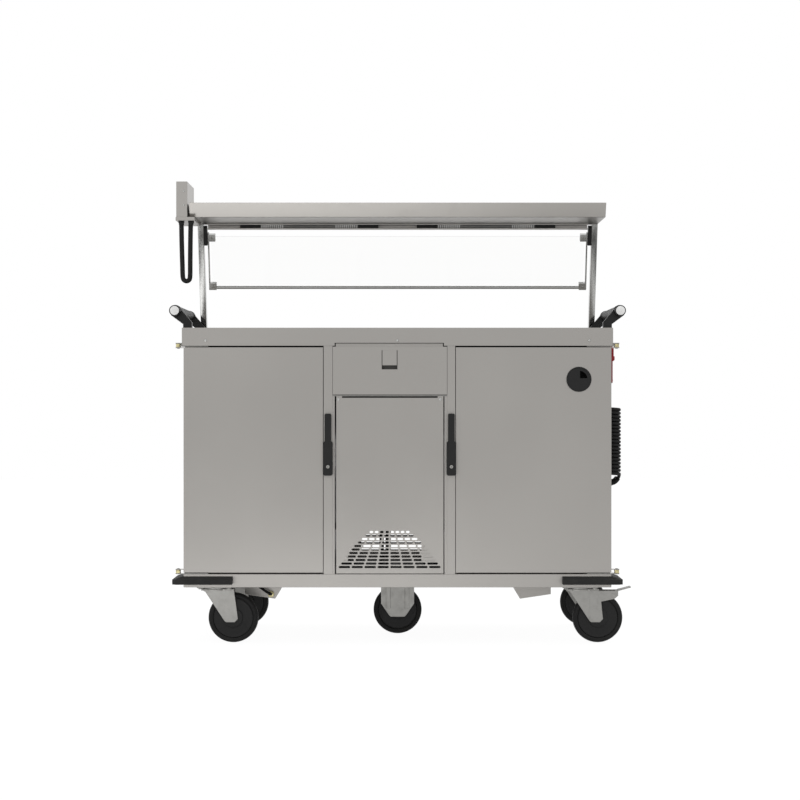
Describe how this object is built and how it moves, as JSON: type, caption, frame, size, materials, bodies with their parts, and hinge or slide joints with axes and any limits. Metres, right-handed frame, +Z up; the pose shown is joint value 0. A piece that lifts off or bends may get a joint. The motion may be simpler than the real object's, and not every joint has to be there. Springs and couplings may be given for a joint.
{
  "type": "mobile salad bar",
  "caption": "Chilled serving cart on castors with lift-out pans under a lit canopy, a tilting glass guard, hinged cupboards, a machine bay and push handles.",
  "frame": {"origin": "on the floor under the middle of the cart", "axes": "+X to the right seen from the door side, +Y from the door side to the back, +Z up"},
  "size_m": [1.502, 0.778, 1.487],
  "materials": {
    "body_steel": "fine satin",
    "light_steel": "zinc plated, satin",
    "polished_steel": "bright",
    "insulated_panel": "satin",
    "black_plastic": "fine grain",
    "grey_plastic": "fine grain",
    "red_plastic": "smooth",
    "bumper_rubber": "matt",
    "seal_rubber": "matt",
    "cord_rubber": "matt",
    "tyre": "matt",
    "black_paint": "semi-matt",
    "brass": "dull",
    "glass": "clear",
    "lamp_white": "smooth"
  },
  "bodies": {
    "cart": {"chassis": "body_steel", "cabinet_shell": "body_steel", "rear_vent_panel": "body_steel", "left_partition": "body_steel", "right_partition": "body_steel", "inner_bulkhead": "insulated_panel", "shelf_runners": "light_steel", "worktop": "body_steel", "well_tub": "body_steel", "service_hatch": "body_steel", "controller": "black_plastic", "condensing_unit": "black_paint", "hinge_arms": "light_steel", "hinge_bushes": "brass", "corner_bumpers": "bumper_rubber", "left_handle_tube": "black_paint", "right_handle_tube": "black_paint", "handle_end_plugs": "grey_plastic", "handle_brackets": "black_paint", "canopy": "body_steel", "canopy_posts": "polished_steel", "lamp_rail": "body_steel", "lamps": "lamp_white", "lamp_box": "body_steel", "pivot_blocks": "black_plastic", "switch_box": "red_plastic", "cord_inlets": "black_plastic", "underframe_boxes": "body_steel", "hose_gland": "brass", "castor_plates": "light_steel", "centre_fork": "light_steel", "lamp_cable": "cord_rubber", "drain_hose": "cord_rubber", "mains_cord": "cord_rubber"},
    "left_door": {"left_door": "body_steel", "left_gasket": "seal_rubber"},
    "right_door": {"right_door": "body_steel", "right_gasket": "seal_rubber"},
    "vent_dial": {"vent_dial": "black_plastic"},
    "left_latch": {"left_latch": "black_plastic"},
    "right_latch": {"right_latch": "black_plastic"},
    "control_flap": {"control_flap": "body_steel"},
    "glass_guard": {"guard_glass": "glass", "guard_frame": "light_steel"},
    "pan_left": {"pan_left": "light_steel"},
    "pan_middle": {"pan_middle": "light_steel"},
    "pan_right": {"pan_right": "light_steel"},
    "switch_knob": {"switch_knob": "red_plastic"},
    "fan_rotor": {"fan_rotor": "grey_plastic"},
    "wheel_centre": {"wheel_centre": "tyre"},
    "castor_front_left": {"fork_front_left": "light_steel"},
    "wheel_front_left": {"wheel_front_left": "tyre"},
    "castor_front_right": {"fork_front_right": "light_steel"},
    "wheel_front_right": {"wheel_front_right": "tyre"},
    "castor_rear_left": {"fork_rear_left": "light_steel"},
    "wheel_rear_left": {"wheel_rear_left": "tyre"},
    "castor_rear_right": {"fork_rear_right": "light_steel"},
    "wheel_rear_right": {"wheel_rear_right": "tyre"},
    "brake_pedal_front_right": {"brake_pedal_front_right": "light_steel"},
    "brake_pedal_rear_right": {"brake_pedal_rear_right": "light_steel"}
  },
  "joints": [
    {"name": "left_door_hinge", "type": "hinge", "parent": "cart", "child": "left_door", "pos_m": [-0.695, -0.349, 0.586], "axis": [0, 0, -1], "range_deg": [0, 270]},
    {"name": "right_door_hinge", "type": "hinge", "parent": "cart", "child": "right_door", "pos_m": [0.695, -0.349, 0.586], "axis": [0, 0, 1], "range_deg": [0, 270]},
    {"name": "vent_dial_turn", "type": "hinge", "parent": "right_door", "child": "vent_dial", "pos_m": [0.575, -0.355, 0.8416], "axis": [0, 1, 0], "range_deg": [0, 90]},
    {"name": "left_latch_turn", "type": "hinge", "parent": "cart", "child": "left_latch", "pos_m": [-0.22, -0.355, 0.552], "axis": [0, 1, 0], "range_deg": [0, 90]},
    {"name": "right_latch_turn", "type": "hinge", "parent": "cart", "child": "right_latch", "pos_m": [0.1705, -0.355, 0.552], "axis": [0, -1, 0], "range_deg": [0, 90]},
    {"name": "control_flap_hinge", "type": "hinge", "parent": "cart", "child": "control_flap", "pos_m": [-0.024, -0.353, 0.796], "axis": [1, 0, 0], "range_deg": [0, 90]},
    {"name": "glass_guard_hinge", "type": "hinge", "parent": "cart", "child": "glass_guard", "pos_m": [0, 0.155, 1.34], "axis": [1, 0, 0], "range_deg": [0, 60]},
    {"name": "pan_left_lift", "type": "slide", "parent": "cart", "child": "pan_left", "axis": [0, 0, 1], "range_m": [0, 0.148]},
    {"name": "pan_middle_lift", "type": "slide", "parent": "cart", "child": "pan_middle", "axis": [0, 0, 1], "range_m": [0, 0.148]},
    {"name": "pan_right_lift", "type": "slide", "parent": "cart", "child": "pan_right", "axis": [0, 0, 1], "range_m": [0, 0.148]},
    {"name": "switch_turn", "type": "hinge", "parent": "cart", "child": "switch_knob", "pos_m": [0.7335, 0.2175, 0.919], "axis": [1, 0, 0], "range_deg": [0, 90]},
    {"name": "fan_spin", "type": "hinge", "parent": "cart", "child": "fan_rotor", "pos_m": [0.052, -0.13, 0.455], "axis": [0, 1, 0], "continuous": true},
    {"name": "castor_front_left_swivel", "type": "hinge", "parent": "cart", "child": "castor_front_left", "pos_m": [-0.583, -0.273, 0.17], "axis": [0, 0, 1], "continuous": true},
    {"name": "wheel_front_left_roll", "type": "hinge", "parent": "castor_front_left", "child": "wheel_front_left", "pos_m": [-0.5255, -0.273, 0.08], "axis": [0, 1, 0], "continuous": true},
    {"name": "castor_front_right_swivel", "type": "hinge", "parent": "cart", "child": "castor_front_right", "pos_m": [0.583, -0.273, 0.17], "axis": [0, 0, 1], "continuous": true},
    {"name": "wheel_front_right_roll", "type": "hinge", "parent": "castor_front_right", "child": "wheel_front_right", "pos_m": [0.6405, -0.273, 0.08], "axis": [0, 1, 0], "continuous": true},
    {"name": "brake_pedal_front_right_press", "type": "hinge", "parent": "castor_front_right", "child": "brake_pedal_front_right", "pos_m": [0.687, -0.273, 0.156], "axis": [0, 1, 0], "range_deg": [0, 15]},
    {"name": "castor_rear_left_swivel", "type": "hinge", "parent": "cart", "child": "castor_rear_left", "pos_m": [-0.583, 0.273, 0.17], "axis": [0, 0, 1], "continuous": true},
    {"name": "wheel_rear_left_roll", "type": "hinge", "parent": "castor_rear_left", "child": "wheel_rear_left", "pos_m": [-0.5255, 0.273, 0.08], "axis": [0, 1, 0], "continuous": true},
    {"name": "castor_rear_right_swivel", "type": "hinge", "parent": "cart", "child": "castor_rear_right", "pos_m": [0.583, 0.273, 0.17], "axis": [0, 0, 1], "continuous": true},
    {"name": "wheel_rear_right_roll", "type": "hinge", "parent": "castor_rear_right", "child": "wheel_rear_right", "pos_m": [0.6405, 0.273, 0.08], "axis": [0, 1, 0], "continuous": true},
    {"name": "brake_pedal_rear_right_press", "type": "hinge", "parent": "castor_rear_right", "child": "brake_pedal_rear_right", "pos_m": [0.687, 0.273, 0.156], "axis": [0, 1, 0], "range_deg": [0, 15]},
    {"name": "wheel_centre_roll", "type": "hinge", "parent": "cart", "child": "wheel_centre", "pos_m": [0, 0, 0.08], "axis": [0, 1, 0], "continuous": true}
  ]
}
